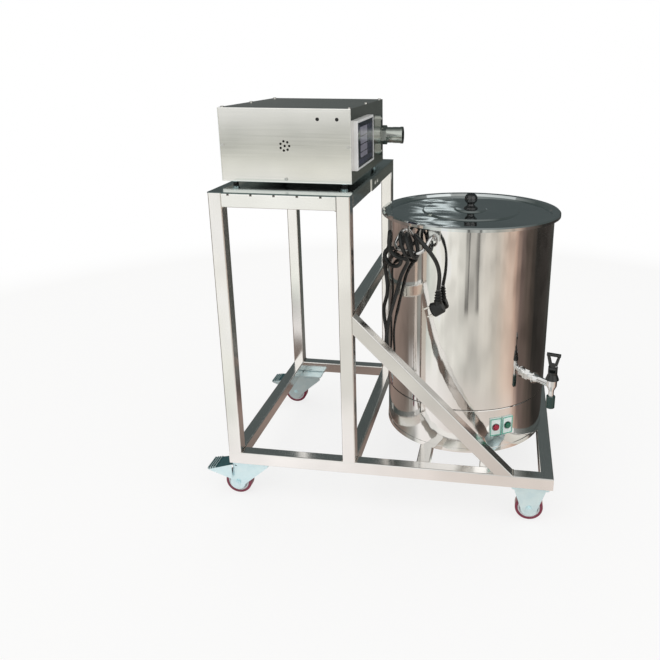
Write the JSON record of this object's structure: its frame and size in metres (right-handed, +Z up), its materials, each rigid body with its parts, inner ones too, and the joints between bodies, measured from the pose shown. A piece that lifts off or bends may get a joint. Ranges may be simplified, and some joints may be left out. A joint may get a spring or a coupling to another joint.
{
  "type": "candle wax melter",
  "caption": "Wheeled stainless frame with a heated wax barrel, lid and tap on the right and a pump and touch screen dosing box on a bench on the left.",
  "frame": {"origin": "middle of the footprint without the cord and plug, at floor level under the wheels", "axes": "+X along the front rail from the bench to the barrel, +Y to the back, +Z up"},
  "size_m": [0.8232, 0.56, 0.9152],
  "materials": {
    "frame_steel": "satin stainless tube",
    "bench_steel": "satin stainless sheet",
    "zinc": "zinc plated",
    "pedal": "gloss",
    "hub": "satin",
    "tread": "satin",
    "barrel_steel": "bright rolled stainless",
    "lid_steel": "polished",
    "rod_steel": "polished",
    "black_knob": "gloss",
    "tap_metal": "polished",
    "tap_tip": "satin",
    "heater": "heat tinted",
    "thermostat": "ceramic",
    "switch": "satin",
    "red": "gloss",
    "green": "gloss",
    "cord": "satin",
    "plug": "moulded",
    "pin": "nickel plated",
    "box_steel": "brushed stainless",
    "foot": "matt",
    "screw": "machined",
    "bezel": "anodised",
    "screen": "gloss",
    "port": "polished",
    "socket": "moulded",
    "pump": "machined",
    "gear": "machined",
    "motor": "satin",
    "supply": "sheet",
    "board": "satin"
  },
  "bodies": {
    "frame": {"base_rails": "frame_steel", "inner_base_rails": "frame_steel", "bench_posts": "frame_steel", "bench_rails": "frame_steel", "braces": "frame_steel", "bench_sheet": "bench_steel", "swivel_plates": "zinc", "fixed_brackets": "zinc", "caster_bolts": "zinc", "barrel_vessel": "barrel_steel", "heater_skirt": "barrel_steel", "base_pan": "barrel_steel", "handle_brackets": "barrel_steel", "barrel_handles": "rod_steel", "tap_bonnet": "black_knob", "tap_body": "tap_metal", "tap_nuts": "tap_metal", "tap_nozzle": "tap_tip", "heating_element": "heater", "thermostat": "thermostat", "switch_plates": "switch", "power_cord": "cord", "cord_gland": "cord", "plug_body": "plug", "plug_pins": "pin", "box_housing": "box_steel", "front_panel": "box_steel", "top_cover": "box_steel", "box_feet": "foot", "box_screws": "screw", "screen_bezel": "bezel", "touch_screen": "screen", "port_flanges": "port", "port_pipes": "port", "mains_inlet": "socket", "pump_body": "pump", "pump_motor": "motor", "power_supply": "supply", "control_board": "board"},
    "front_left_fork": {"front_left_fork": "zinc"},
    "front_left_wheel": {"front_left_hub": "hub", "front_left_tyre": "tread"},
    "front_left_pedal": {"front_left_pedal": "pedal"},
    "rear_left_fork": {"rear_left_fork": "zinc"},
    "rear_left_wheel": {"rear_left_hub": "hub", "rear_left_tyre": "tread"},
    "rear_left_pedal": {"rear_left_pedal": "pedal"},
    "front_right_wheel": {"front_right_hub": "hub", "front_right_tyre": "tread"},
    "rear_right_wheel": {"rear_right_hub": "hub", "rear_right_tyre": "tread"},
    "lid": {"lid": "lid_steel", "knob_stem": "rod_steel", "lid_knob": "black_knob"},
    "tap_lever": {"tap_lever": "black_knob"},
    "tap_stem": {"tap_stem": "tap_metal"},
    "red_button": {"red_button": "red"},
    "green_button": {"green_button": "green"},
    "drive_gear": {"drive_gear": "gear"},
    "driven_gear": {"driven_gear": "gear"}
  },
  "joints": [
    {"name": "front_left_swivel", "type": "hinge", "parent": "frame", "child": "front_left_fork", "pos_m": [-0.29856, -0.243, 0.089], "axis": [0, 0, 1], "continuous": true},
    {"name": "front_left_roll", "type": "hinge", "parent": "front_left_fork", "child": "front_left_wheel", "pos_m": [-0.33956, -0.243, 0.032], "axis": [0, 1, 0], "continuous": true},
    {"name": "front_left_brake", "type": "hinge", "parent": "front_left_fork", "child": "front_left_pedal", "pos_m": [-0.34156, -0.243, 0.0795], "axis": [0, -1, 0], "range_deg": [0, 12]},
    {"name": "rear_left_swivel", "type": "hinge", "parent": "frame", "child": "rear_left_fork", "pos_m": [-0.29856, 0.243, 0.089], "axis": [0, 0, 1], "continuous": true},
    {"name": "rear_left_roll", "type": "hinge", "parent": "rear_left_fork", "child": "rear_left_wheel", "pos_m": [-0.33956, 0.243, 0.032], "axis": [0, 1, 0], "continuous": true},
    {"name": "rear_left_brake", "type": "hinge", "parent": "rear_left_fork", "child": "rear_left_pedal", "pos_m": [-0.34156, 0.243, 0.0795], "axis": [0, -1, 0], "range_deg": [0, 12]},
    {"name": "front_right_roll", "type": "hinge", "parent": "frame", "child": "front_right_wheel", "pos_m": [0.35844, -0.243, 0.032], "axis": [0, 1, 0], "continuous": true},
    {"name": "rear_right_roll", "type": "hinge", "parent": "frame", "child": "rear_right_wheel", "pos_m": [0.35844, 0.243, 0.032], "axis": [0, 1, 0], "continuous": true},
    {"name": "lid_lift", "type": "slide", "parent": "frame", "child": "lid", "axis": [0, 0, 1], "range_m": [0, 0.12]},
    {"name": "tap_lever_turn", "type": "hinge", "parent": "frame", "child": "tap_lever", "pos_m": [0.3955, -0.17291, 0.346], "axis": [0.9636, -0.2672, 0], "range_deg": [0, 60]},
    {"name": "tap_stem_lift", "type": "slide", "parent": "frame", "child": "tap_stem", "axis": [0, 0, 1], "range_m": [0, 0.002]},
    {"name": "red_button_press", "type": "slide", "parent": "frame", "child": "red_button", "axis": [-0.4242, 0.9056, 0], "range_m": [0, 0.003], "stiffness_N_per_m": 300},
    {"name": "green_button_press", "type": "slide", "parent": "frame", "child": "green_button", "axis": [-0.5592, 0.829, 0], "range_m": [0, 0.003], "stiffness_N_per_m": 300},
    {"name": "drive_gear_spin", "type": "hinge", "parent": "frame", "child": "drive_gear", "pos_m": [-0.09806, 0.127, 0.811], "axis": [1, 0, 0], "continuous": true},
    {"name": "driven_gear_spin", "type": "hinge", "parent": "frame", "child": "driven_gear", "pos_m": [-0.09806, 0.127, 0.847], "axis": [1, 0, 0], "continuous": true}
  ],
  "couplings": [
    {"joint": "tap_stem_lift", "follows": "tap_lever_turn", "m_per_rad": 0.0019},
    {"joint": "driven_gear_spin", "follows": "drive_gear_spin", "ratio": -1}
  ]
}
